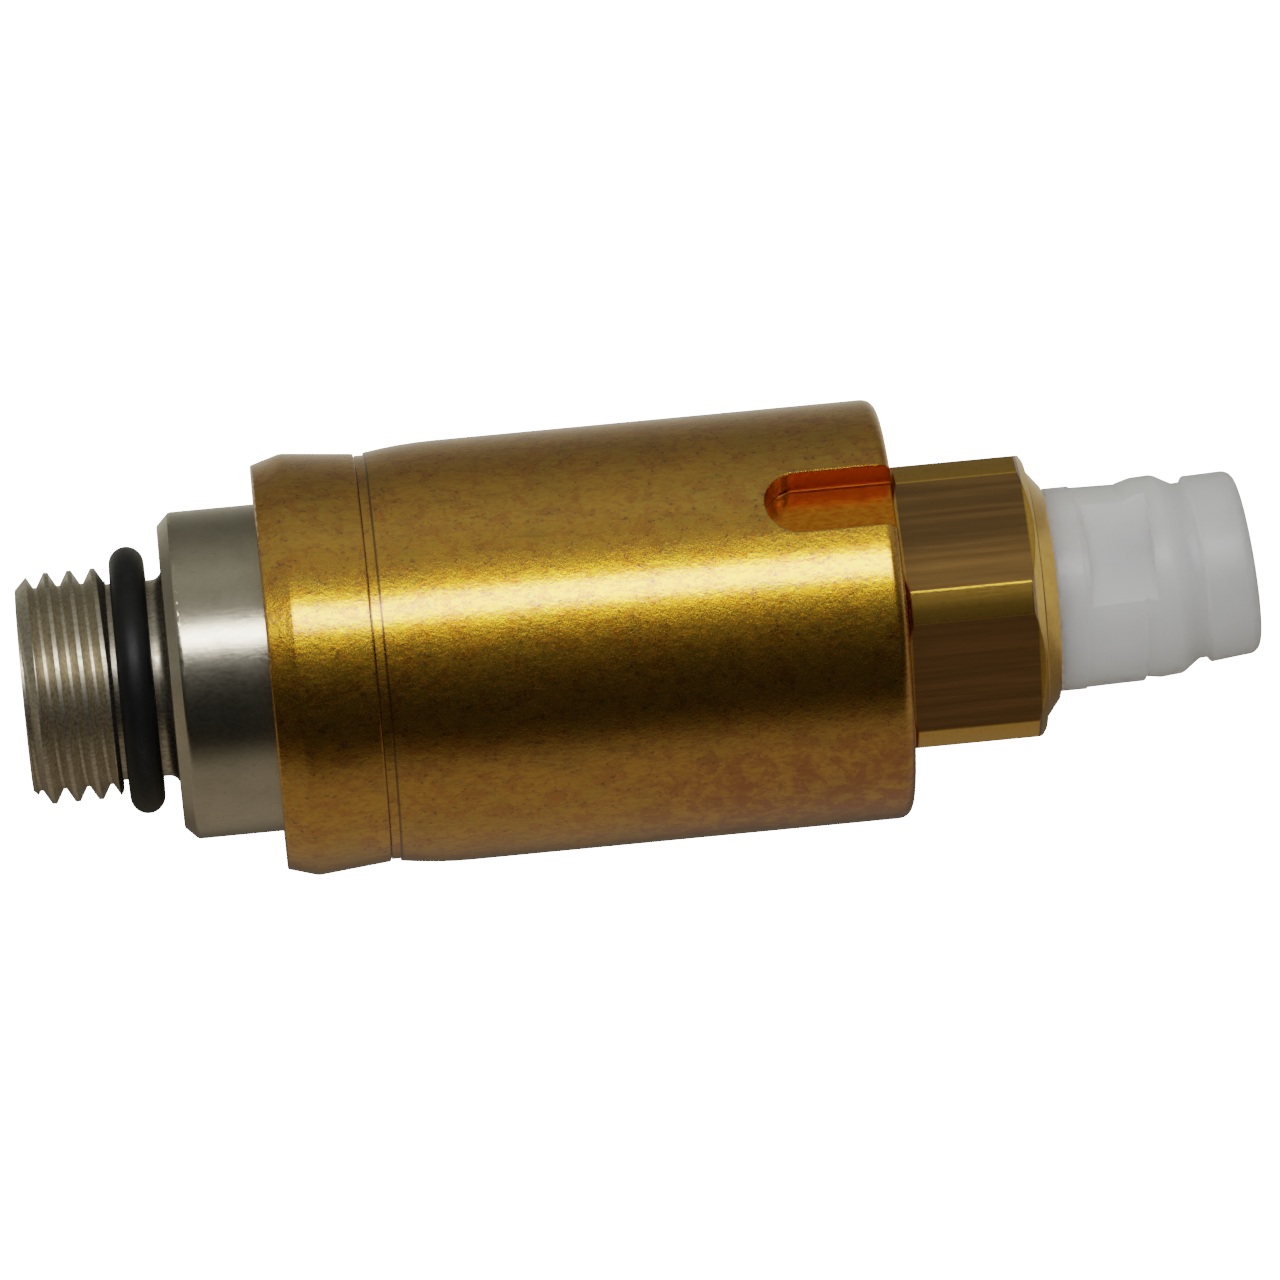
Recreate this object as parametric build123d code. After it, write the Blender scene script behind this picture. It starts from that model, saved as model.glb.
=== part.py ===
from build123d import *

import os
from math import cos, pi, radians, sin, sqrt, tan

# Inline residual-pressure valve for a 6 mm air line, M10 x 1 stud to M10 x 1 union.
# Millimetres. The valve axis is +X: stud at -X, air line at +X, +Z up.
# x = 0 is the seat plane of the stud collar. Turned shapes are given as (x, radius) corners.

os.makedirs("parts", exist_ok=True)

# ---- Driving dimensions -------------------------------------------------------------------

# M10 x 1 thread, used on the stud and on the union
PITCH = 1.0
MALE_MAJOR_R = 9.85 / 2
MALE_MINOR_R = 8.65 / 2
THREAD_ANGLE = 60.0
MALE_CREST_FLAT = 0.18
FEMALE_MINOR_R = 8.98 / 2
FEMALE_MAJOR_R = 10.14 / 2
FEMALE_CREST_FLAT = 0.22

# Threaded stud
STUD_TIP_X = -6.25
STUD_TIP_CHAMFER = 0.62
STUD_THREAD_END_X = -2.4
STUD_CREST_X = -4.15
NECK_R = 8.4 / 2
NECK_FILLET = 0.45
COLLAR_R = 14.0 / 2
COLLAR_CHAMFER = 0.55
FLANGE_R = 14.8 / 2
FLANGE_X = 5.2
SPIGOT_R = 12.0 / 2
SPIGOT_X = 6.0
SPIGOT_END_X = 11.1
SEAT_LIP_X = 11.6
STUD_BORE_R = 3.6 / 2
STUD_O_RING_WIRE = 1.5
STUD_O_RING_X = -1.43

# Seal between stud and housing
SPIGOT_GROOVE_X = 7.4
SPIGOT_GROOVE_END_X = 9.0
SPIGOT_GROOVE_R = 9.9 / 2
SPIGOT_O_RING_WIRE = 1.06

# Retaining ring
RING_X = 4.2
RING_FACE_R = 17.3 / 2
RING_CREST_R = 18.08 / 2
RING_CREST_X = 5.5
RING_END_R = 17.48 / 2
RING_END_X = 8.62
RING_SHOULDER_R = 14.08 / 2
RING_THREAD_R = 15.94 / 2

# Housing
BOSS_X = 6.0
BOSS_R = 15.88 / 2
JOINT_LAND_X = 8.66
JOINT_LAND_R = 17.3 / 2
BARREL_START_X = 9.05
BARREL_START_R = 17.5 / 2
BARREL_R = 18.0 / 2
BARREL_BLEND_X = 10.6
BARREL_BLEND_R = 18.5
BARREL_END_X = 31.0
BARREL_END_FILLET = 0.6
CHAMBER_R = 12.1 / 2
CHAMBER_END_X = 21.2
PASSAGE_R = 4.0 / 2

# Spanner slots, open at the union end of the barrel
SLOT_WIDTH = 3.0
SLOT_DEPTH = 1.5
SLOT_START_X = 25.5
SLOT_ANGLE = 147.3
SLOT_COUNT = 2

# Tube port in the housing
TUBE_STOP_X = 22.2
TUBE_BORE_R = 6.1 / 2
CONE_START_X = 23.25
CONE_START_R = 6.6 / 2
CONE_HALF_ANGLE = 12.0
RELIEF_X = 26.2
RELIEF_END_X = 27.1
RELIEF_R = 10.6 / 2
PORT_WALL_R = 12.4 / 2

# Clamping ring
CLAMP_X = 23.6
CLAMP_TIP_R = 3.35
CLAMP_R = 7.6 / 2
CLAMP_SHOULDER_X = 26.3
CLAMP_END_X = 26.85
CLAMP_BORE_R = 6.06 / 2

# Union screw
UNION_NOSE_X = 26.4
UNION_NOSE_R = 8.5 / 2
UNION_THREAD_X = 27.1
UNION_THREAD_END_X = 30.4
UNION_CREST_X = 29.15
UNION_UNDERCUT_R = 8.4 / 2
UNION_BORE_R = 6.2 / 2
HEX_X = 31.14
HEX_END_X = 37.0
HEX_FLATS = 12.0
HEX_CORNER_R = 13.14 / 2
HEX_FACE_R = 11.7 / 2
HEX_ANGLE = 31.0
UNION_BOSS_R = 10.8 / 2
UNION_BOSS_END_R = 9.2 / 2
UNION_BOSS_END_X = 37.72

# Transport plug
PLUG_HEAD_X = 37.76
PLUG_SHANK_R = 5.95 / 2
PLUG_TIP_X = 22.6
PLUG_BASE_R = 8.72 / 2
PLUG_BASE_END_X = 38.95
PLUG_BODY_R = 8.6 / 2
PLUG_BODY_END_R = 8.5 / 2
PLUG_BEAD_R = 8.66 / 2
PLUG_GROOVE_R = 7.6 / 2
PLUG_COLLAR_R = 8.07 / 2
PLUG_COLLAR_END_R = 7.9 / 2
PLUG_END_X = 46.3
PLUG_CORE_R = 5.2 / 2
PLUG_CORE_DEPTH = 6.0
HEAD_LEAN = 4.0
HEAD_LEAN_X = 41.4
BASE_RISE = 0.12
HEAD_RISE = 0.24
PLUG_FLAT_X = 39.2
PLUG_FLAT_END_X = 42.0
PLUG_FLAT_DEPTH = 0.65
PLUG_FLAT_ANGLE = 159.0

# Valve parts inside the chamber
POPPET_X = 11.9
POPPET_R = 11.8 / 2
POPPET_HEAD_END_X = 14.9
POPPET_BOSS_R = 6.2 / 2
POPPET_END_X = 19.0
FLUTE_R = 1.5
FLUTE_COUNT = 6
SEAL_R = 8.0 / 2
SEAL_BORE_R = 3.4 / 2
SEAL_POCKET_X = 13.0
BALL_R = 1.5
BALL_CHAMBER_R = 1.75
BALL_CHAMBER_END_X = 17.0
BALL_PASSAGE_R = 1.0
RETAINER_X = 13.05
RETAINER_END_X = 13.65
RETAINER_HOLE_R = 0.8
SHIM_X = 20.7
SHIM_R = 11.8 / 2
SHIM_BORE_R = 7.0 / 2
MAIN_WIRE = 0.9
MAIN_COIL_R = 4.35
MAIN_COILS = 4.8
CHECK_WIRE = 0.25
CHECK_COIL_R = 1.0
CHECK_COILS = 4.0
CHECK_SPRING_END_X = 15.42

HAIR = 0.01


# ---- Shared shapes ------------------------------------------------------------------------

def turned(corners):
    """Solid of revolution about the valve axis. Corners are (x, radius) or (x, radius, fillet)."""
    points = [(c[0], 0, c[1]) for c in corners]
    fillets = [c[2] if len(c) > 2 else 0 for c in corners]
    if any(fillets):
        outline = FilletPolyline(*points, radius=fillets, close=True)
    else:
        outline = Polyline(*points, close=True)
    return revolve(make_face(outline), axis=Axis.X)


def rod(x_start, x_end, radius):
    """Plain cylinder on the valve axis."""
    return turned([(x_start, 0), (x_end, 0), (x_end, radius), (x_start, radius)])


def facing(angle):
    """Plane whose X runs along the valve and whose normal points outward at angle from +Y."""
    outward = (0, cos(radians(angle)), sin(radians(angle)))
    return Plane(origin=(0, 0, 0), x_dir=(1, 0, 0), z_dir=outward)


def screw(x_start, x_end, root_r, crest_r, crest_flat, crest_x):
    """Threaded rod, right-handed with 60 degree flanks. Its crest faces +Y where x is crest_x."""
    per_mm = 360 / PITCH
    crest = crest_flat * per_mm / 2
    flank = (crest_r - root_r) * tan(radians(THREAD_ANGLE / 2)) * per_mm
    steps = 6
    rising = []
    falling = []
    for i in range(steps + 1):
        radius = root_r + (crest_r - root_r) * i / steps
        angle = crest + flank * (1 - i / steps)
        rising.append(radial_point(radius, -angle))
        falling.append(radial_point(radius, angle))
    section = make_face([
        Spline(*rising),
        ThreePointArc(rising[-1], (crest_r, 0), falling[-1]),
        Spline(*falling[::-1]),
        ThreePointArc(falling[0], (-root_r, 0), rising[0]),
    ])
    length = x_end - x_start
    rod_shape = Solid.extrude_linear_with_rotation(
        section.face(), (0, 0, 0), (0, 0, length), per_mm * length
    )
    start_turn = per_mm * (x_start - crest_x)
    return Plane.YZ.offset(x_start).location * Rot(0, 0, start_turn) * rod_shape


def radial_point(radius, angle):
    """Point at a radius and an angle in degrees."""
    return (radius * cos(radians(angle)), radius * sin(radians(angle)))


def o_ring(x_centre, inner_r, wire):
    """O-ring around the valve axis."""
    section = Plane.XZ * Pos(x_centre, inner_r + wire / 2) * Circle(wire / 2)
    return revolve(section, axis=Axis.X)


def coil_spring(x_start, x_end, coil_r, wire, coils):
    """Compression spring with one closed, ground turn at each end."""
    steps = 14
    active = coils - 2
    closed_pitch = wire * 1.02
    open_pitch = (x_end - x_start - wire * 0.5 - 2 * closed_pitch) / active
    points = []
    for i in range(round(coils * steps) + 1):
        turn = i / steps
        opened = min(max(turn - 1, 0), active)
        closed = turn - opened
        x = x_start + wire * 0.25 + closed * closed_pitch + opened * open_pitch
        points.append((x, coil_r * cos(2 * pi * turn), coil_r * sin(2 * pi * turn)))
    path = Spline(*points)
    section = Plane(origin=path @ 0, z_dir=path % 0) * Circle(wire / 2)
    coil = sweep(section, path=path)
    ground = rod(x_start, x_end, coil_r + wire)
    return coil & ground


# ---- Threaded stud and its seal -----------------------------------------------------------

def make_threaded_stud():
    thread = screw(
        STUD_TIP_X, STUD_THREAD_END_X, MALE_MINOR_R, MALE_MAJOR_R, MALE_CREST_FLAT, STUD_CREST_X
    )
    envelope = turned([
        (STUD_TIP_X, 0),
        (STUD_TIP_X, MALE_MAJOR_R - STUD_TIP_CHAMFER),
        (STUD_TIP_X + STUD_TIP_CHAMFER + 0.2, MALE_MAJOR_R + 0.2),
        (STUD_THREAD_END_X - 0.3, MALE_MAJOR_R + 0.2),
        (STUD_THREAD_END_X, MALE_MAJOR_R - 0.3),
        (STUD_THREAD_END_X, 0),
    ])
    body = turned([
        (STUD_THREAD_END_X - 0.5, 0),
        (SPIGOT_END_X, 0),
        (SPIGOT_END_X, SPIGOT_R - 0.4),
        (SPIGOT_END_X - 0.4, SPIGOT_R),
        (SPIGOT_GROOVE_END_X, SPIGOT_R),
        (SPIGOT_GROOVE_END_X, SPIGOT_GROOVE_R, 0.15),
        (SPIGOT_GROOVE_X, SPIGOT_GROOVE_R, 0.15),
        (SPIGOT_GROOVE_X, SPIGOT_R),
        (SPIGOT_X, SPIGOT_R),
        (SPIGOT_X, FLANGE_R),
        (FLANGE_X, FLANGE_R),
        (FLANGE_X, COLLAR_R),
        (COLLAR_CHAMFER, COLLAR_R, 0.25),
        (0, COLLAR_R - COLLAR_CHAMFER, 0.15),
        (0, NECK_R, NECK_FILLET),
        (STUD_THREAD_END_X - 0.5, NECK_R),
    ])
    lip = turned([
        (SPIGOT_END_X - 0.2, 0),
        (SEAT_LIP_X, 0),
        (SEAT_LIP_X, 2.45, 0.12),
        (SPIGOT_END_X - 0.2, 2.75),
    ])
    bore = turned([
        (STUD_TIP_X - 1, 0),
        (SEAT_LIP_X + 1, 0),
        (SEAT_LIP_X + 1, 2.15 + 1),
        (SEAT_LIP_X - 0.35, STUD_BORE_R),
        (STUD_TIP_X + 0.45, STUD_BORE_R),
        (STUD_TIP_X, STUD_BORE_R + 0.45),
        (STUD_TIP_X - 1, STUD_BORE_R + 0.45),
    ])
    return (thread & envelope) + body + lip - bore


def make_stud_o_ring():
    return o_ring(STUD_O_RING_X, NECK_R + HAIR, STUD_O_RING_WIRE)


def make_housing_o_ring():
    centre_x = (SPIGOT_GROOVE_X + SPIGOT_GROOVE_END_X) / 2
    return o_ring(centre_x, SPIGOT_GROOVE_R + 2 * HAIR, SPIGOT_O_RING_WIRE)


# ---- Retaining ring and housing -----------------------------------------------------------

def make_retaining_ring():
    return turned([
        (RING_X, RING_SHOULDER_R + 0.15),
        (RING_X, RING_FACE_R, 0.12),
        (RING_CREST_X, RING_CREST_R, 0.9),
        (RING_END_X, RING_END_R, 0.06),
        (RING_END_X, RING_THREAD_R + 0.2),
        (RING_END_X - 0.2, RING_THREAD_R),
        (FLANGE_X - HAIR, RING_THREAD_R),
        (FLANGE_X - HAIR, RING_SHOULDER_R),
        (RING_X + 0.15, RING_SHOULDER_R),
    ])


def make_spanner_slot(angle):
    """End-milled slot, closed by a half circle at its inner end and open at the barrel end."""
    length = BARREL_END_X + 2 - SLOT_START_X
    radius = SLOT_WIDTH / 2
    outline = Pos(SLOT_START_X + radius, 0) * Circle(radius)
    outline += Pos(SLOT_START_X + radius + length / 2, 0) * Rectangle(length, SLOT_WIDTH)
    floor = facing(angle).offset(BARREL_R - SLOT_DEPTH)
    return extrude(floor * outline, SLOT_DEPTH + 2)


def make_valve_housing():
    cone_end_r = CONE_START_R + (RELIEF_X - CONE_START_X) * tan(radians(CONE_HALF_ANGLE))
    barrel = turned([
        (BOSS_X, 0),
        (BOSS_X, BOSS_R - 0.3),
        (BOSS_X + 0.3, BOSS_R),
        (JOINT_LAND_X, BOSS_R),
        (JOINT_LAND_X, JOINT_LAND_R),
        (BARREL_START_X, JOINT_LAND_R),
        (BARREL_START_X, BARREL_START_R),
        (BARREL_BLEND_X, BARREL_R, BARREL_BLEND_R),
        (BARREL_END_X, BARREL_R, BARREL_END_FILLET),
        (BARREL_END_X, 0),
    ])
    chamber = turned([
        (BOSS_X - 1, 0),
        (BOSS_X - 1, CHAMBER_R + 0.3),
        (BOSS_X, CHAMBER_R + 0.3),
        (BOSS_X + 0.3, CHAMBER_R),
        (CHAMBER_END_X, CHAMBER_R, 0.2),
        (CHAMBER_END_X, PASSAGE_R),
        (TUBE_STOP_X, PASSAGE_R),
        (TUBE_STOP_X, 0),
    ])
    port = turned([
        (TUBE_STOP_X, 0),
        (TUBE_STOP_X, TUBE_BORE_R),
        (CONE_START_X, TUBE_BORE_R),
        (CONE_START_X, CONE_START_R),
        (RELIEF_X, cone_end_r),
        (RELIEF_X, RELIEF_R, 0.1),
        (RELIEF_END_X, RELIEF_R),
        (RELIEF_END_X, PORT_WALL_R),
        (BARREL_END_X + 1, PORT_WALL_R),
        (BARREL_END_X + 1, 0),
    ])
    thread = screw(
        RELIEF_X + 0.3, BARREL_END_X + 0.5,
        FEMALE_MINOR_R, FEMALE_MAJOR_R, FEMALE_CREST_FLAT, UNION_CREST_X,
    )
    mouth = turned([
        (BARREL_END_X - 0.65, 0),
        (BARREL_END_X - 0.65, FEMALE_MINOR_R),
        (BARREL_END_X + 0.2, FEMALE_MINOR_R + 0.85),
        (BARREL_END_X + 0.2, 0),
    ])
    port_wall = rod(RELIEF_END_X, BARREL_END_X, PORT_WALL_R) - thread - mouth
    housing = barrel - chamber - port + port_wall
    for i in range(SLOT_COUNT):
        housing -= make_spanner_slot(SLOT_ANGLE + 360 / SLOT_COUNT * i)
    return housing


# ---- Valve parts inside the chamber -------------------------------------------------------

def make_valve_poppet():
    seat_end_x = BALL_CHAMBER_END_X + BALL_CHAMBER_R - BALL_PASSAGE_R
    body = turned([
        (POPPET_X, SEAL_R + 0.03),
        (POPPET_X, POPPET_R - 0.3),
        (POPPET_X + 0.3, POPPET_R),
        (POPPET_HEAD_END_X - 0.3, POPPET_R),
        (POPPET_HEAD_END_X, POPPET_R - 0.3),
        (POPPET_HEAD_END_X, POPPET_BOSS_R, 0.2),
        (POPPET_END_X - 0.4, POPPET_BOSS_R),
        (POPPET_END_X, POPPET_BOSS_R - 0.4),
        (POPPET_END_X, BALL_PASSAGE_R),
        (seat_end_x, BALL_PASSAGE_R),
        (BALL_CHAMBER_END_X, BALL_CHAMBER_R),
        (SEAL_POCKET_X, BALL_CHAMBER_R),
        (SEAL_POCKET_X, SEAL_R + 0.03),
    ])
    for i in range(FLUTE_COUNT):
        angle = radians(360 / FLUTE_COUNT * i)
        flute = Plane.YZ.offset(POPPET_X - 1) * Pos(POPPET_R * cos(angle), POPPET_R * sin(angle))
        body -= extrude(flute * Circle(FLUTE_R), POPPET_HEAD_END_X - POPPET_X + 2)
    return body


def make_poppet_seal():
    return turned([
        (SEAT_LIP_X + HAIR, SEAL_BORE_R + 0.1),
        (SEAT_LIP_X + HAIR, SEAL_R, 0.2),
        (SEAL_POCKET_X - HAIR, SEAL_R),
        (SEAL_POCKET_X - HAIR, SEAL_BORE_R),
        (SEAT_LIP_X + HAIR + 0.1, SEAL_BORE_R),
    ])


def make_check_ball():
    seat_line = BALL_CHAMBER_END_X + BALL_CHAMBER_R
    centre_x = seat_line - BALL_R * sqrt(2) - HAIR
    return Pos(centre_x, 0, 0) * Sphere(BALL_R)


def make_check_retainer():
    return turned([
        (RETAINER_X, RETAINER_HOLE_R),
        (RETAINER_X, BALL_CHAMBER_R - HAIR),
        (RETAINER_END_X, BALL_CHAMBER_R - HAIR),
        (RETAINER_END_X, RETAINER_HOLE_R + 0.15),
        (RETAINER_END_X - 0.15, RETAINER_HOLE_R),
    ])


def make_check_spring():
    x_start = RETAINER_END_X + HAIR
    return coil_spring(x_start, CHECK_SPRING_END_X, CHECK_COIL_R, CHECK_WIRE, CHECK_COILS)


def make_pressure_spring():
    x_start = POPPET_HEAD_END_X + HAIR
    return coil_spring(x_start, SHIM_X - HAIR, MAIN_COIL_R, MAIN_WIRE, MAIN_COILS)


def make_shim_washer():
    return rod(SHIM_X, CHAMBER_END_X - HAIR, SHIM_R) - rod(SHIM_X - 1, CHAMBER_END_X, SHIM_BORE_R)


# ---- Tube connection ----------------------------------------------------------------------

def make_clamping_ring():
    cone = tan(radians(CONE_HALF_ANGLE))
    cone_end_x = CLAMP_X + (CLAMP_R - CLAMP_TIP_R) / cone
    return turned([
        (CLAMP_X, CLAMP_BORE_R + 0.1),
        (CLAMP_X, CLAMP_TIP_R),
        (cone_end_x, CLAMP_R),
        (CLAMP_SHOULDER_X, CLAMP_R),
        (CLAMP_END_X, CLAMP_R - (CLAMP_END_X - CLAMP_SHOULDER_X)),
        (CLAMP_END_X, CLAMP_BORE_R),
        (CLAMP_X + 0.1, CLAMP_BORE_R),
    ])


def make_union_screw():
    nose_cone_r = CLAMP_R + 0.04 - (UNION_NOSE_X - CLAMP_SHOULDER_X)
    cone_end_x = UNION_NOSE_X + nose_cone_r - UNION_BORE_R
    thread = screw(
        UNION_THREAD_X, UNION_THREAD_END_X,
        MALE_MINOR_R, MALE_MAJOR_R, MALE_CREST_FLAT, UNION_CREST_X,
    )
    envelope = turned([
        (UNION_THREAD_X, 0),
        (UNION_THREAD_X, MALE_MAJOR_R - 0.5),
        (UNION_THREAD_X + 0.7, MALE_MAJOR_R + 0.2),
        (UNION_THREAD_END_X - 0.3, MALE_MAJOR_R + 0.2),
        (UNION_THREAD_END_X, MALE_MAJOR_R - 0.3),
        (UNION_THREAD_END_X, 0),
    ])
    core = turned([
        (UNION_NOSE_X, 0),
        (UNION_NOSE_X, UNION_NOSE_R - 0.12),
        (UNION_NOSE_X + 0.12, UNION_NOSE_R),
        (UNION_THREAD_X + 0.2, UNION_NOSE_R),
        (UNION_THREAD_X + 0.4, UNION_UNDERCUT_R),
        (HEX_X + 0.1, UNION_UNDERCUT_R),
        (HEX_X + 0.1, 0),
    ])
    head = turned([
        (HEX_X, 0),
        (HEX_X, HEX_CORNER_R - 0.35),
        (HEX_X + 0.2, HEX_CORNER_R),
        (HEX_END_X - 0.5, HEX_CORNER_R),
        (HEX_END_X, HEX_FACE_R),
        (HEX_END_X, 0),
    ])
    hexagon = RegularPolygon(HEX_FLATS / 2, 6, major_radius=False, rotation=HEX_ANGLE + 30)
    prism = extrude(Plane.YZ.offset(HEX_X - 1) * hexagon, HEX_END_X - HEX_X + 2)
    boss = turned([
        (HEX_END_X - 0.1, 0),
        (HEX_END_X - 0.1, UNION_BOSS_R + 0.1),
        (HEX_END_X + 0.08, UNION_BOSS_R),
        (UNION_BOSS_END_X, UNION_BOSS_END_R, 0.08),
        (UNION_BOSS_END_X, 0),
    ])
    bore = turned([
        (UNION_NOSE_X - 0.5, 0),
        (UNION_NOSE_X - 0.5, nose_cone_r + 0.5),
        (cone_end_x, UNION_BORE_R),
        (UNION_BOSS_END_X - 0.3, UNION_BORE_R),
        (UNION_BOSS_END_X + 0.2, UNION_BORE_R + 0.5),
        (UNION_BOSS_END_X + 0.2, 0),
    ])
    return (thread & envelope) + core + (head & prism) + boss - bore


def make_transport_plug():
    shank = turned([
        (PLUG_TIP_X, 0),
        (PLUG_TIP_X, PLUG_SHANK_R - 0.5),
        (PLUG_TIP_X + 1.2, PLUG_SHANK_R, 0.6),
        (PLUG_HEAD_X + 0.5, PLUG_SHANK_R),
        (PLUG_HEAD_X + 0.5, 0),
    ])
    base = turned([
        (PLUG_HEAD_X, 0),
        (PLUG_HEAD_X, PLUG_BASE_R, 0.15),
        (PLUG_BASE_END_X, PLUG_BASE_R, 0.03),
        (PLUG_BASE_END_X, PLUG_BODY_R),
        (HEAD_LEAN_X + 0.1, PLUG_BODY_END_R, 0.1),
        (HEAD_LEAN_X + 0.1, 0),
    ])
    head = turned([
        (HEAD_LEAN_X - 0.7, 0),
        (HEAD_LEAN_X - 0.7, PLUG_BODY_END_R - 0.25),
        (HEAD_LEAN_X - 0.1, PLUG_BODY_END_R - 0.05, 0.3),
        (HEAD_LEAN_X + 0.5, PLUG_BEAD_R, 0.5),
        (HEAD_LEAN_X + 1.45, PLUG_BEAD_R - 0.02, 0.6),
        (HEAD_LEAN_X + 2.25, PLUG_GROOVE_R, 0.2),
        (HEAD_LEAN_X + 2.6, PLUG_GROOVE_R, 0.12),
        (HEAD_LEAN_X + 2.75, PLUG_COLLAR_R, 0.12),
        (PLUG_END_X, PLUG_COLLAR_END_R, 0.5),
        (PLUG_END_X, 0),
    ])
    core = turned([
        (PLUG_END_X - PLUG_CORE_DEPTH, 0),
        (PLUG_END_X - PLUG_CORE_DEPTH, PLUG_CORE_R, 0.4),
        (PLUG_END_X + 1, PLUG_CORE_R + 0.06),
        (PLUG_END_X + 1, 0),
    ])
    pivot = Axis((HEAD_LEAN_X, 0, 0), (0, 1, 0))
    leaning_head = Pos(0, 0, HEAD_RISE) * head.rotate(pivot, -HEAD_LEAN)
    leaning_core = Pos(0, 0, HEAD_RISE) * core.rotate(pivot, -HEAD_LEAN)
    plug = shank + Pos(0, 0, BASE_RISE) * base + leaning_head - leaning_core
    length = PLUG_FLAT_END_X - PLUG_FLAT_X
    outline = Pos(PLUG_FLAT_X + length / 2, 0) * RectangleRounded(length, 2 * PLUG_BODY_R, 0.3)
    for angle in (PLUG_FLAT_ANGLE, PLUG_FLAT_ANGLE + 180):
        floor = facing(angle).offset(PLUG_BODY_R - PLUG_FLAT_DEPTH)
        plug -= extrude(floor * outline, 3)
    return plug


# ---- Export -------------------------------------------------------------------------------

nodes = {
    "threaded_stud": make_threaded_stud(),
    "stud_o_ring": make_stud_o_ring(),
    "retaining_ring": make_retaining_ring(),
    "valve_housing": make_valve_housing(),
    "housing_o_ring": make_housing_o_ring(),
    "valve_poppet": make_valve_poppet(),
    "poppet_seal": make_poppet_seal(),
    "pressure_spring": make_pressure_spring(),
    "shim_washer": make_shim_washer(),
    "check_ball": make_check_ball(),
    "check_spring": make_check_spring(),
    "check_retainer": make_check_retainer(),
    "clamping_ring": make_clamping_ring(),
    "union_screw": make_union_screw(),
    "transport_plug": make_transport_plug(),
}

for name, shape in nodes.items():
    export_step(shape, f"parts/{name}.step")
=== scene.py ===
import math

import bpy
from mathutils import Matrix, Vector


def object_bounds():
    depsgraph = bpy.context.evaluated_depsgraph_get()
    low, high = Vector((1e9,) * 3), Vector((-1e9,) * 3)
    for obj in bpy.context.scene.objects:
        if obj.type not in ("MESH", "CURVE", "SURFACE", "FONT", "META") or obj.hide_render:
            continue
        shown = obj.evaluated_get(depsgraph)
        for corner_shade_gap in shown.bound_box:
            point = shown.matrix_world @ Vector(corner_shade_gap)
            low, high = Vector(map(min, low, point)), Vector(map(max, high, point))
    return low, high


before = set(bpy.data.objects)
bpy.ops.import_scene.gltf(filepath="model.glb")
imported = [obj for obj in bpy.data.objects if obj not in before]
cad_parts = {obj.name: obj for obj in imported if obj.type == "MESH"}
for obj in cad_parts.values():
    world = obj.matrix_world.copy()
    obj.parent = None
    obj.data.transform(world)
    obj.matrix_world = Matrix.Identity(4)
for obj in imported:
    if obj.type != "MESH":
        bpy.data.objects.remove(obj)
cad_low, cad_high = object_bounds()

MM = 0.001

# Where a material changes, in millimetres along (X) or out from (R) the valve axis. The slot
# tint reaches a little past the slot itself. The slot angle is in degrees round the axis.
FINE_LINE_X = 9.08
SLOT_ANGLE = 147.3
SLOT_SIDE = 1.5
SLOT_TINT_OUTER_R = 8.95
SLOT_TINT_INNER_R = 7.2
SLOT_TINT_START_X = 25.3
HEX_DARK_START_X = 31.3
HEX_DARK_END_X = 36.6
HEX_DARK_R = 6.54


# ---- Node helpers -------------------------------------------------------------------------

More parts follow.
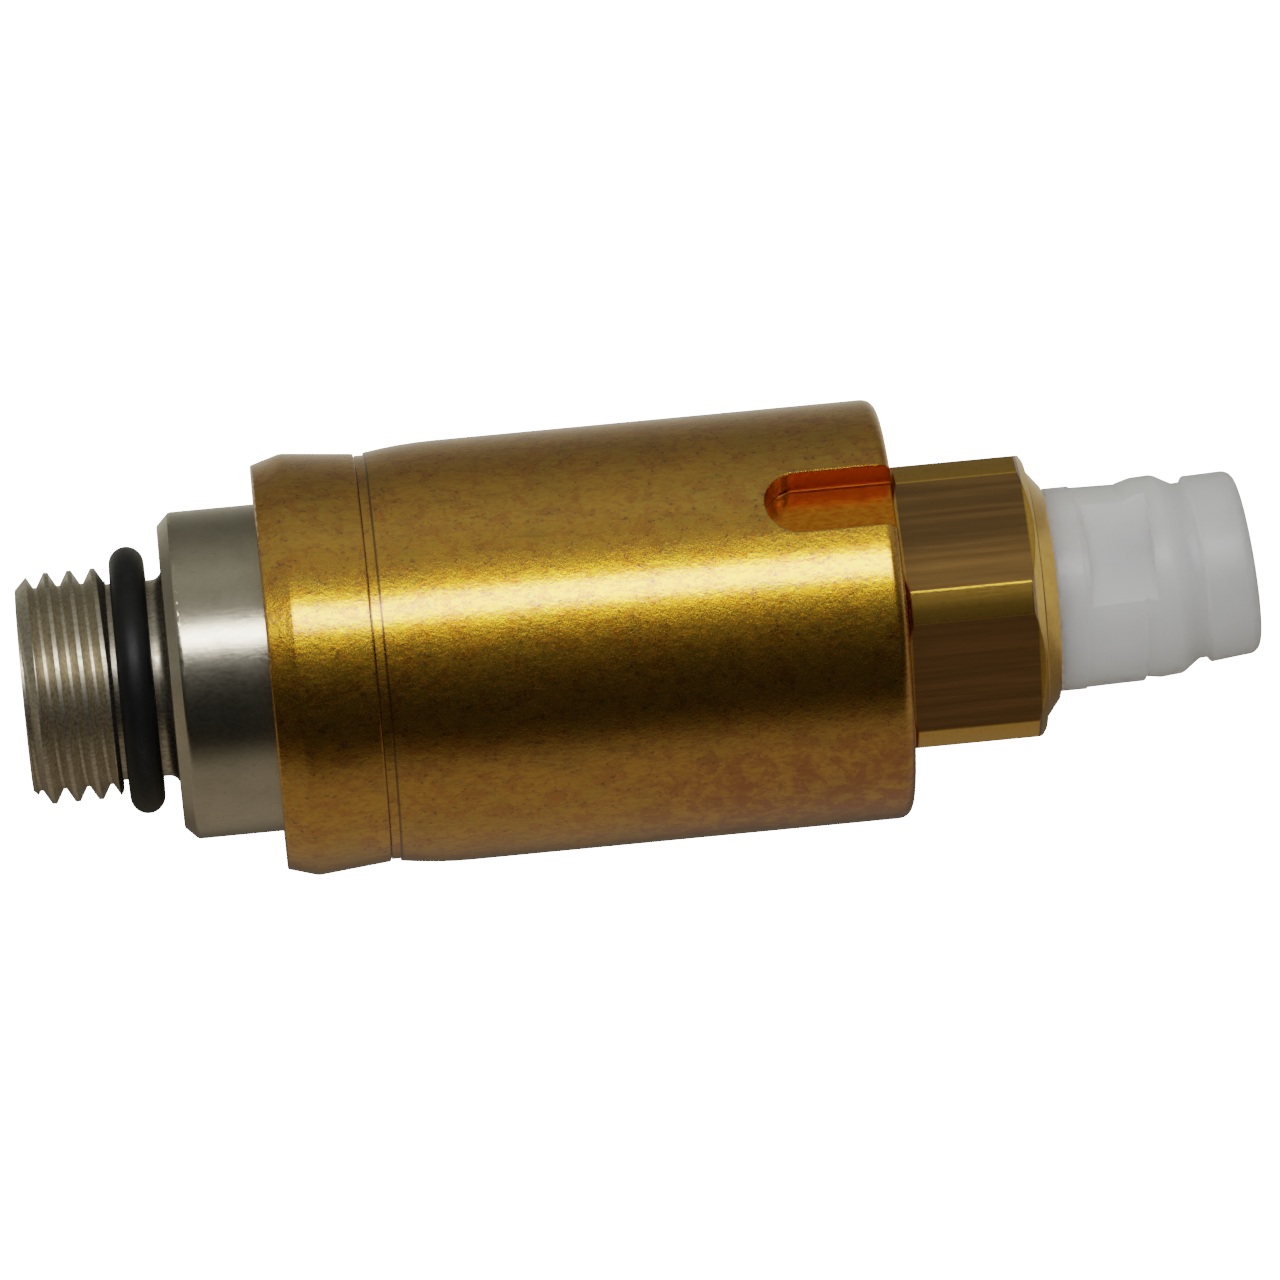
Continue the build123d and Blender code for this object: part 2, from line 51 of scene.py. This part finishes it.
class Tree:
    """Small builder for a shader node tree, with places in millimetres in the shared frame."""

    def __init__(self, name):
        self.material = bpy.data.materials.new(name)
        self.material.use_nodes = True
        self.tree = self.material.node_tree
        self.tree.nodes.clear()
        self.output = self.add("ShaderNodeOutputMaterial")
        self.shader = self.add("ShaderNodeBsdfPrincipled")
        self.link(self.shader.outputs[0], self.output.inputs["Surface"])
        coordinates = self.add("ShaderNodeTexCoord")
        self.position = coordinates.outputs["Object"]

    def add(self, kind):
        return self.tree.nodes.new(kind)

    def link(self, source, target):
        self.tree.links.new(source, target)

    def put(self, socket, value):
        """Links a socket, or sets a constant, on an input."""
        if isinstance(value, bpy.types.NodeSocket):
            self.link(value, socket)
        else:
            socket.default_value = value

    def setting(self, name, value):
        self.put(self.shader.inputs[name], value)

    def mapped(self, scale):
        """Object position in millimetres, times a scale for each axis."""
        node = self.add("ShaderNodeMapping")
        self.link(self.position, node.inputs["Vector"])
        node.inputs["Scale"].default_value = [s * 1000 for s in scale]
        return node.outputs[0]

    def around(self, along=1.0, turn=1.0):
        """Coordinates (x, angle, radius) about the valve axis, so patterns can follow the lathe."""
        x, y, z = self.split(self.mapped((1, 1, 1)))
        angle = self.math("ARCTAN2", z, y)
        radius = self.math("SQRT", self.math("ADD", self.product(y, y), self.product(z, z)))
        join = self.add("ShaderNodeCombineXYZ")
        self.put(join.inputs[0], self.product(x, along))
        self.put(join.inputs[1], self.product(angle, turn))
        self.put(join.inputs[2], radius)
        return join.outputs[0]

    def height(self):
        """Z in millimetres."""
        return self.split(self.mapped((1, 1, 1)))[2]

    def noise(self, vector, scale=1.0, detail=4.0, rough=0.55, distortion=0.0, offset=0.0):
        node = self.add("ShaderNodeTexNoise")
        node.noise_dimensions = "4D"
        self.link(vector, node.inputs["Vector"])
        node.inputs["W"].default_value = offset
        node.inputs["Scale"].default_value = scale
        node.inputs["Detail"].default_value = detail
        node.inputs["Roughness"].default_value = rough
        node.inputs["Distortion"].default_value = distortion
        return node.outputs[0]

    def math(self, operation, a, b=0.0):
        node = self.add("ShaderNodeMath")
        node.operation = operation
        self.put(node.inputs[0], a)
        self.put(node.inputs[1], b)
        return node.outputs[0]

    def product(self, a, b):
        return self.math("MULTIPLY", a, b)

    def split(self, vector):
        """The three parts of a vector."""
        node = self.add("ShaderNodeSeparateXYZ")
        self.link(vector, node.inputs[0])
        return node.outputs

    def fade(self, value, low, high, out_low=0.0, out_high=1.0):
        """Smooth step from out_low at low to out_high at high."""
        node = self.add("ShaderNodeMapRange")
        node.interpolation_type = "SMOOTHSTEP"
        self.put(node.inputs["Value"], value)
        node.inputs["From Min"].default_value = low
        node.inputs["From Max"].default_value = high
        node.inputs["To Min"].default_value = out_low
        node.inputs["To Max"].default_value = out_high
        return node.outputs[0]

    def blend(self, amount, a, b, mode="MIX"):
        node = self.add("ShaderNodeMix")
        node.data_type = "RGBA"
        node.blend_type = mode
        self.put(node.inputs[0], amount)
        self.put(node.inputs[6], a)
        self.put(node.inputs[7], b)
        return node.outputs[2]

    def stain(self, color, mask, amount, tint):
        """Tints a colour where a mask is set, up to an amount."""
        return self.blend(self.product(mask, amount), color, tint)

    def mix(self, amount, a, b):
        """Mixes two plain values."""
        node = self.add("ShaderNodeMix")
        self.put(node.inputs[0], amount)
        self.put(node.inputs[2], a)
        self.put(node.inputs[3], b)
        return node.outputs[0]

    def bump(self, height, distance, strength=1.0, normal=None):
        node = self.add("ShaderNodeBump")
        self.link(height, node.inputs["Height"])
        node.inputs["Distance"].default_value = distance * MM
        node.inputs["Strength"].default_value = strength
        if normal is not None:
            self.link(normal, node.inputs["Normal"])
        return node.outputs[0]

    def soft_edge(self, radius):
        """Normal that rounds sharp edges by a radius in millimetres."""
        bevel = self.add("ShaderNodeBevel")
        bevel.samples = 4
        bevel.inputs["Radius"].default_value = radius * MM
        return bevel.outputs[0]

    def across(self, angle):
        """Distance from the plane through the valve axis at an angle from +Y, in millimetres."""
        _, y, z = self.split(self.mapped((1, 1, 1)))
        turned = math.radians(angle)
        return self.math("ADD", self.product(y, math.sin(turned)),
                         self.product(z, -math.cos(turned)))


def rgb(r, g, b):
    return (r, g, b, 1.0)


# ---- Materials ----------------------------------------------------------------------------

def tarnish(t, seed, grain, blotch, speck):
    """Gold brass under brown grain, red-brown blotches, streaks and dark specks."""
    cloud = t.noise(t.mapped((1, 1, 1)), 0.35, 3, 0.6, 0.3, offset=seed)
    streak = t.noise(t.mapped((0.5, 2.6, 2.6)), 1.0, 5, 0.7, 0.6, offset=seed + 9)
    dark = t.product(t.fade(speck, 0.55, 0.64), t.fade(blotch, 0.42, 0.54))
    color = t.blend(t.fade(cloud, 0.42, 0.62), rgb(1.0, 0.48, 0.020), rgb(0.86, 0.46, 0.024))
    color = t.stain(color, t.fade(grain, 0.44, 0.60), 0.62, rgb(0.74, 0.26, 0.008))
    color = t.stain(color, t.fade(blotch, 0.48, 0.60), 0.72, rgb(0.76, 0.25, 0.008))
    color = t.stain(color, t.fade(streak, 0.53, 0.64), 0.42, rgb(0.42, 0.20, 0.014))
    return t.stain(color, dark, 0.8, rgb(0.16, 0.12, 0.045))


def line_and_low_red(t, color, x, blotch, amount):
    """Draws a fine dark line round the body near the ring and reddens the low right end."""
    line = t.math("ABSOLUTE", t.math("SUBTRACT", x, FINE_LINE_X))
    color = t.blend(t.fade(line, 0.07, 0.02, 0.0, 0.8), color, rgb(0.16, 0.07, 0.01))
    # Redder and darker towards the bottom of the right end.
    low_right = t.product(t.fade(x, 15.0, 25.0), t.fade(t.height(), -4.0, -7.0))
    low_right_red = t.product(low_right, t.fade(blotch, 0.40, 0.56, 0.25, 1.0))
    return t.stain(color, low_right_red, amount, rgb(0.50, 0.13, 0.012))


def slot_masks(t, x, radius):
    """Distance to the side of a slot's middle, the slots, and their walls."""
    side = t.math("ABSOLUTE", t.across(SLOT_ANGLE))
    slot = t.product(t.fade(radius, SLOT_TINT_OUTER_R, SLOT_TINT_OUTER_R - 0.05),
                     t.fade(x, SLOT_TINT_START_X, SLOT_TINT_START_X + 0.2))
    slot = t.product(slot, t.fade(side, SLOT_SIDE + 0.10, SLOT_SIDE + 0.03))
    slot = t.product(slot, t.fade(radius, SLOT_TINT_INNER_R, SLOT_TINT_INNER_R + 0.1))
    wall = t.fade(side, SLOT_SIDE - 0.08, SLOT_SIDE - 0.03)
    return side, slot, wall


def slot_copper_and_shade(t, grain, side, wall):
    """Copper-red slot floor with painted shade: browner towards the walls, and a painted dark shade
    line along the inner corner.
    """
    copper_and_shade = t.blend(t.fade(grain, 0.4, 0.62), rgb(0.98, 0.33, 0.02), rgb(0.80, 0.19, 0.010))
    # Painted shade: the floor is browned towards the walls.
    copper_and_shade = t.blend(t.fade(side, 0.4, 1.3, 0.0, 0.75), copper_and_shade, rgb(0.42, 0.13, 0.010))
    copper_and_shade = t.blend(wall, copper_and_shade, rgb(0.86, 0.19, 0.010))
    # Painted shade: a dark line along the inner corner between floor and wall.
    corner_shade_gap = t.math("ABSOLUTE", t.math("SUBTRACT", side, SLOT_SIDE - 0.1))
    return t.blend(t.fade(corner_shade_gap, 0.10, 0.03, 0.0, 0.8), copper_and_shade, rgb(0.14, 0.035, 0.005))


def aged_brass(name, seed, stain):
    """Turned brass, tarnished in a streaky grain, redder and darker low at the right end."""
    t = Tree(name)
    x, _, radius = t.split(t.around())
    blotch = t.noise(t.mapped((1, 1, 1)), 1.3, 5, 0.7, 0.5, offset=seed + 3)
    grain = t.noise(t.mapped((2.4, 5.5, 5.5)), 1.0, 5, 0.72, 0.4, offset=seed + 5)
    speck = t.noise(t.mapped((4.5, 6.0, 6.0)), 1.0, 4, 0.7, 0.3, offset=seed + 6)
    fine = t.noise(t.mapped((1, 1, 1)), 16.0, 2, 0.6, offset=seed + 7)
    lines = t.noise(t.around(along=14.0, turn=0.5), 1.0, 3, 0.6, offset=seed)
    side, slot, wall = slot_masks(t, x, radius)
    color = tarnish(t, seed, grain, blotch, speck)
    color = line_and_low_red(t, color, x, blotch, 0.75 * stain)
    t.setting("Base Color", t.blend(slot, color, slot_copper_and_shade(t, grain, side, wall)))
    t.setting("Metallic", 1.0)
    rough = t.math("ADD", t.fade(fine, 0.3, 0.7, 0.20, 0.26),
                   t.product(t.fade(grain, 0.44, 0.62), 0.05))
    rough = t.math("SUBTRACT", rough, t.product(slot, 0.06))
    rough = t.math("ADD", rough, t.product(t.product(slot, wall), 0.18))
    t.setting("Roughness", rough)
    t.setting("Coat Weight", t.mix(slot, 0.75, 0.0))
    t.setting("Coat Roughness", 0.09)
    t.setting("Coat IOR", 1.8)
    normal = t.bump(lines, 0.002, 0.4, t.soft_edge(0.10))
    normal = t.bump(speck, 0.009, 1.0, normal)
    t.setting("Normal", t.bump(blotch, 0.02, 0.6, normal))
    t.setting("Coat Normal", t.bump(speck, 0.007, 1.0))
    return t.material


def drawn_brass(name, seed):
    """Hexagon bar brass: dark bronze tone, streaks along the bar, bright turned corners, and
    painted shade that darkens the top of the hex.
    """
    t = Tree(name)
    streak = t.noise(t.mapped((0.12, 3.4, 3.4)), 1.0, 5, 0.65, offset=seed)
    wide = t.noise(t.mapped((0.05, 0.9, 0.9)), 1.0, 3, 0.5, offset=seed + 2)
    speck = t.noise(t.mapped((1, 1, 1)), 4.5, 4, 0.7, offset=seed + 4)
    x, _, radius = t.split(t.around())
    dark = t.blend(t.fade(streak, 0.35, 0.68), rgb(0.30, 0.145, 0.032), rgb(0.43, 0.215, 0.050))
    dark = t.stain(dark, t.fade(wide, 0.45, 0.65), 0.5, rgb(0.34, 0.17, 0.035))
    turned_corner = t.fade(radius, HEX_DARK_R, HEX_DARK_R + 0.025)
    past_hex = t.fade(x, HEX_DARK_END_X, HEX_DARK_END_X + 0.1)
    before_hex = t.fade(x, HEX_DARK_START_X, HEX_DARK_START_X - 0.1)
    bright_mask = t.math("MAXIMUM", t.math("MAXIMUM", turned_corner, past_hex), before_hex)
    bright = t.blend(t.fade(speck, 0.5, 0.7), rgb(0.93, 0.50, 0.055), rgb(0.78, 0.38, 0.035))
    # Painted shade: the bronze colour is darkened towards the top of the hex.
    painted_top_shade = t.fade(t.height(), 1.5, 3.0, 1.0, 0.52)
    dark = t.blend(1.0, dark, painted_top_shade, "MULTIPLY")
    t.setting("Base Color", t.blend(bright_mask, dark, bright))
    t.setting("Metallic", 1.0)
    rough = t.mix(bright_mask, t.fade(streak, 0.3, 0.7, 0.30, 0.40), 0.22)
    t.setting("Roughness", rough)
    t.setting("Coat Weight", 0.6)
    t.setting("Coat Roughness", 0.2)
    normal = t.bump(streak, 0.01, 0.5, t.soft_edge(0.12))
    t.setting("Normal", t.bump(speck, 0.008, 0.2, normal))
    return t.material


def bright_brass(name, seed):
    """Clean turned brass with lathe lines."""
    t = Tree(name)
    lines = t.noise(t.around(along=9.0, turn=0.4), 1.0, 4, 0.6, offset=seed)
    cloud = t.noise(t.mapped((1, 1, 1)), 1.2, 4, 0.6, offset=seed + 1)
    color = t.blend(t.fade(cloud, 0.4, 0.65), rgb(0.80, 0.50, 0.08), rgb(0.68, 0.38, 0.05))
    t.setting("Base Color", color)
    t.setting("Metallic", 1.0)
    t.setting("Roughness", t.fade(lines, 0.3, 0.7, 0.18, 0.32))
    t.setting("Normal", t.bump(lines, 0.004, 0.5))
    return t.material


def nickel_plate(name, seed):
    """Satin nickel over turned brass; the thread and neck are duller than the collar."""
    t = Tree(name)
    thread = t.fade(t.split(t.mapped((1, 1, 1)))[0], 0.1, -0.1)
    cloud = t.noise(t.mapped((1, 1, 1)), 0.5, 4, 0.6, offset=seed)
    speck = t.noise(t.mapped((4.0, 6.0, 6.0)), 1.0, 5, 0.75, offset=seed + 2)
    lines = t.noise(t.around(along=16.0, turn=0.5), 1.0, 3, 0.6, offset=seed + 4)
    color = t.blend(t.fade(cloud, 0.4, 0.65), rgb(0.67, 0.61, 0.48), rgb(0.58, 0.53, 0.41))
    color = t.stain(color, t.fade(speck, 0.54, 0.68), 0.5, rgb(0.36, 0.31, 0.23))
    dull = t.blend(t.fade(speck, 0.40, 0.62), rgb(0.72, 0.66, 0.53), rgb(0.50, 0.44, 0.33))
    color = t.blend(thread, color, dull)
    t.setting("Base Color", color)
    t.setting("Metallic", 1.0)
    satin = t.fade(speck, 0.3, 0.7, 0.18, 0.26)
    t.setting("Roughness", t.mix(thread, satin, t.fade(speck, 0.3, 0.7, 0.30, 0.42)))
    normal = t.bump(lines, 0.002, 0.4)
    t.setting("Normal", t.bump(speck, 0.008, 0.6, normal))
    return t.material


def rubber(name, seed, color=(0.0045, 0.0045, 0.005)):
    """Moulded black nitrile with a fine grain and a cloudy tone."""
    t = Tree(name)
    grain = t.noise(t.mapped((1, 1, 1)), 9.0, 4, 0.6, offset=seed)
    cloud = t.noise(t.mapped((1, 1, 1)), 0.8, 3, 0.6, offset=seed + 1)
    base = t.blend(t.fade(cloud, 0.4, 0.7), rgb(*color), rgb(*(c * 1.9 for c in color)))
    t.setting("Base Color", base)
    t.setting("Roughness", t.fade(grain, 0.3, 0.7, 0.38, 0.5))
    t.setting("Specular IOR Level", 0.22)
    t.setting("Normal", t.bump(grain, 0.006, 0.4))
    return t.material


def milky_plastic(name, seed):
    """Translucent moulded polyethylene with soft flow clouds."""
    t = Tree(name)
    cloud = t.noise(t.mapped((1, 1, 1)), 0.35, 4, 0.55, offset=seed)
    grain = t.noise(t.mapped((1, 1, 1)), 6.0, 4, 0.6, offset=seed + 1)
    color = t.blend(t.fade(cloud, 0.38, 0.66), rgb(0.94, 0.945, 0.915), rgb(0.90, 0.905, 0.875))
    t.setting("Base Color", color)
    t.setting("Subsurface Weight", 1.0)
    t.setting("Subsurface Radius", (1.0, 0.95, 0.85))
    t.setting("Subsurface Scale", 0.005)
    t.setting("Roughness", t.fade(grain, 0.3, 0.7, 0.30, 0.42))
    t.setting("IOR", 1.5)
    t.setting("Normal", t.bump(grain, 0.008, 0.25))
    return t.material


def spring_wire(name, seed):
    """Drawn steel wire."""
    t = Tree(name)
    grain = t.noise(t.mapped((1, 1, 1)), 8.0, 4, 0.6, offset=seed)
    color = t.blend(t.fade(grain, 0.4, 0.65), rgb(0.46, 0.455, 0.44), rgb(0.34, 0.335, 0.32))
    t.setting("Base Color", color)
    t.setting("Metallic", 1.0)
    t.setting("Roughness", t.fade(grain, 0.3, 0.7, 0.22, 0.36))
    t.setting("Normal", t.bump(grain, 0.004, 0.3))
    return t.material


def polished_steel(name, seed):
    """Lapped ball steel."""
    t = Tree(name)
    grain = t.noise(t.mapped((1, 1, 1)), 12.0, 3, 0.6, offset=seed)
    color = t.blend(t.fade(grain, 0.4, 0.65), rgb(0.62, 0.61, 0.60), rgb(0.54, 0.53, 0.52))
    t.setting("Base Color", color)
    t.setting("Metallic", 1.0)
    t.setting("Roughness", t.fade(grain, 0.3, 0.7, 0.07, 0.13))
    return t.material


MATERIALS = {
    "threaded_stud": nickel_plate("nickel_plate", 1.0),
    "stud_o_ring": rubber("seal_black", 2.0),
    "retaining_ring": aged_brass("ring_brass", 8.3, 0.0),
    "valve_housing": aged_brass("body_brass", 3.0, 1.0),
    "housing_o_ring": rubber("seal_inner", 4.0, (0.02, 0.02, 0.02)),
    "union_screw": drawn_brass("hex_brass", 5.0),
    "clamping_ring": bright_brass("clamp_brass", 6.0),
    "transport_plug": milky_plastic("plug_plastic", 7.0),
    "pressure_spring": spring_wire("spring_steel", 9.0),
    "check_ball": polished_steel("ball_steel", 10.0),
    "shim_washer": spring_wire("shim_steel", 11.0),
    "valve_poppet": bright_brass("poppet_brass", 12.0),
}
MATERIALS["poppet_seal"] = MATERIALS["housing_o_ring"]
MATERIALS["check_spring"] = MATERIALS["pressure_spring"]
MATERIALS["check_retainer"] = MATERIALS["valve_poppet"]

for node_name, material in MATERIALS.items():
    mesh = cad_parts[node_name].data
    mesh.materials.clear()
    mesh.materials.append(material)


# ---- Camera -------------------------------------------------------------------------------

YAW = math.radians(2.56)
ROLL = math.radians(5.45)
DISTANCE = 0.396
SENSOR_MM = 36.0
LENS_MM = 260.578125
LOOK_AT = Vector((0.0201, 0.0, -0.00034))


def make_camera():
    """Long lens, almost side on to the valve."""
    data = bpy.data.cameras.new("photo_camera")
    data.sensor_width = SENSOR_MM
    data.lens = LENS_MM
    data.clip_start = 0.01
    data.clip_end = 10.0
    camera = bpy.data.objects.new("photo_camera", data)
    bpy.context.scene.collection.objects.link(camera)
    forward = Vector((math.sin(YAW), math.cos(YAW), 0.0))
    right = Vector((math.cos(YAW), -math.sin(YAW), 0.0))
    up = Vector((0.0, 0.0, 1.0))
    rolled_right = right * math.cos(ROLL) - up * math.sin(ROLL)
    rolled_up = right * math.sin(ROLL) + up * math.cos(ROLL)
    axes = Matrix((rolled_right, rolled_up, -forward)).transposed().to_4x4()
    camera.matrix_world = Matrix.Translation(LOOK_AT - forward * DISTANCE) @ axes
    return camera


bpy.context.scene.camera = make_camera()


# ---- Light --------------------------------------------------------------------------------

# Brightness of the room by elevation round the valve axis, set to follow the tones seen
# across the collar and body. 0 degrees is towards the camera, 90 is up.
ROOM = [
    (-180, 0.12), (-156, 0.11), (-142, 0.22), (-128, 0.27), (-96, 0.25), (-80, 0.24),
    (-68, 0.19), (-58, 0.06), (-50, 0.012), (-16, 0.012), (2, 0.03), (14, 0.06),
    (42, 0.26), (60, 0.30), (72, 0.37), (84, 0.27), (98, 0.20), (110, 0.14),
    (124, 0.13), (136, 0.18), (150, 0.32), (166, 0.65), (180, 0.80),
]
WARM_BELOW = -50
ROOM_TINT = (1.0, 0.97, 0.80)
WARM_TINT = (1.0, 0.84, 0.62)
BACKDROP = 13.0
FACING_DEG = -2.56
SOFTBOX_DISTANCE = 0.60


def elevation(tree):
    """Elevation of a world ray round the valve axis, from 0 at -180 degrees to 1 at 180."""
    coordinates = tree.nodes.new("ShaderNodeTexCoord")
    split = tree.nodes.new("ShaderNodeSeparateXYZ")
    tree.links.new(coordinates.outputs["Generated"], split.inputs[0])
    flip = tree.nodes.new("ShaderNodeMath")
    flip.operation = "MULTIPLY"
    flip.inputs[1].default_value = -1.0
    tree.links.new(split.outputs[1], flip.inputs[0])
    angle = tree.nodes.new("ShaderNodeMath")
    angle.operation = "ARCTAN2"
    tree.links.new(split.outputs[2], angle.inputs[0])
    tree.links.new(flip.outputs[0], angle.inputs[1])
    place = tree.nodes.new("ShaderNodeMapRange")
    place.inputs["From Min"].default_value = -math.pi
    place.inputs["From Max"].default_value = math.pi
    tree.links.new(angle.outputs[0], place.inputs["Value"])
    return place.outputs[0]


def room_light(tree):
    """Background whose brightness follows ROOM, warmer from below."""
    ramp = tree.nodes.new("ShaderNodeValToRGB")
    elements = ramp.color_ramp.elements
    while len(elements) < len(ROOM):
        elements.new(0.5)
    for element, (degrees, value) in zip(elements, ROOM):
        tint = WARM_TINT if degrees < WARM_BELOW else ROOM_TINT
        element.position = (degrees + 180) / 360
        element.color = rgb(*(value * part for part in tint))
    tree.links.new(elevation(tree), ramp.inputs[0])
    room = tree.nodes.new("ShaderNodeBackground")
    tree.links.new(ramp.outputs[0], room.inputs["Color"])
    return room.outputs[0]


def studio_world():
    """Room light for the valve, and a plain white backdrop for the camera."""
    world = bpy.data.worlds.new("studio")
    bpy.context.scene.world = world
    world.use_nodes = True
    tree = world.node_tree
    tree.nodes.clear()
    output = tree.nodes.new("ShaderNodeOutputWorld")
    white = tree.nodes.new("ShaderNodeBackground")
    white.inputs["Color"].default_value = rgb(1, 1, 1)
    white.inputs["Strength"].default_value = BACKDROP
    seen = tree.nodes.new("ShaderNodeLightPath")
    choose = tree.nodes.new("ShaderNodeMixShader")
    tree.links.new(seen.outputs["Is Camera Ray"], choose.inputs[0])
    tree.links.new(room_light(tree), choose.inputs[1])
    tree.links.new(white.outputs[0], choose.inputs[2])
    tree.links.new(choose.outputs[0], output.inputs["Surface"])


def softbox(name, elevation_deg, width, height, radiance, glossy=True):
    """Rectangular light aimed at the valve. Elevation is above the camera's direction."""
    e, a = math.radians(elevation_deg), math.radians(FACING_DEG)
    offset = Vector((math.sin(a) * math.cos(e), -math.cos(a) * math.cos(e), math.sin(e)))
    data = bpy.data.lights.new(name, "AREA")
    data.shape = "RECTANGLE"
    data.size = width
    data.size_y = height
    data.energy = radiance * width * height * math.pi
    light = bpy.data.objects.new(name, data)
    bpy.context.scene.collection.objects.link(light)
    light.location = LOOK_AT + offset * SOFTBOX_DISTANCE
    light.rotation_euler = offset.to_track_quat("Z", "Y").to_euler()
    light.visible_glossy = glossy


studio_world()
softbox("key_strip", 25.0, 0.60, 0.135, 9.5)
softbox("low_fill", -62.0, 0.50, 0.50, 6.2, glossy=False)
softbox("top_fill", 62.0, 0.50, 0.50, 0.9, glossy=False)


# ---- Tone curve ---------------------------------------------------------------------------

WHITE_LEVEL = 12.0


def set_tone_curve():
    """Soft shoulder, L / (1 + L), scaled so that the white level stays white."""
    view = bpy.context.scene.view_settings
    view.view_transform = "Standard"
    view.use_curve_mapping = True
    curves = view.curve_mapping
    curves.white_level = (WHITE_LEVEL, WHITE_LEVEL, WHITE_LEVEL)
    shoulder = curves.curves[3]
    for radiance in (0.1, 0.25, 0.5, 1.0, 2.0, 4.0, 7.0):
        level = radiance / (1 + radiance) * (1 + WHITE_LEVEL) / WHITE_LEVEL
        shoulder.points.new(radiance / WHITE_LEVEL, level)
    curves.update()


set_tone_curve()


# ---- Floor --------------------------------------------------------------------------------

FLOOR_DROP = 0.022
FLOOR_REACH = 0.9


def make_floor():
    """Plain white paper well below the valve, seen by the camera only."""
    mesh = bpy.data.meshes.new("floor")
    z = cad_low.z - FLOOR_DROP
    signs = [(-1, -1), (1, -1), (1, 1), (-1, 1)]
    corners = [(x * FLOOR_REACH, y * FLOOR_REACH, z) for x, y in signs]
    mesh.from_pydata(corners, [], [(0, 1, 2, 3)])
    floor = bpy.data.objects.new("floor", mesh)
    bpy.context.scene.collection.objects.link(floor)
    t = Tree("floor_paper")
    grain = t.noise(t.mapped((0.05, 0.05, 0.05)), 1.0, 3, 0.5)
    t.setting("Base Color", t.blend(grain, rgb(0.92, 0.92, 0.92), rgb(0.88, 0.88, 0.88)))
    t.setting("Roughness", 0.9)
    t.setting("Emission Color", rgb(1, 1, 1))
    t.setting("Emission Strength", WHITE_LEVEL)
    mesh.materials.append(t.material)
    for ray in ("visible_diffuse", "visible_glossy", "visible_transmission"):
        setattr(floor, ray, False)


make_floor()
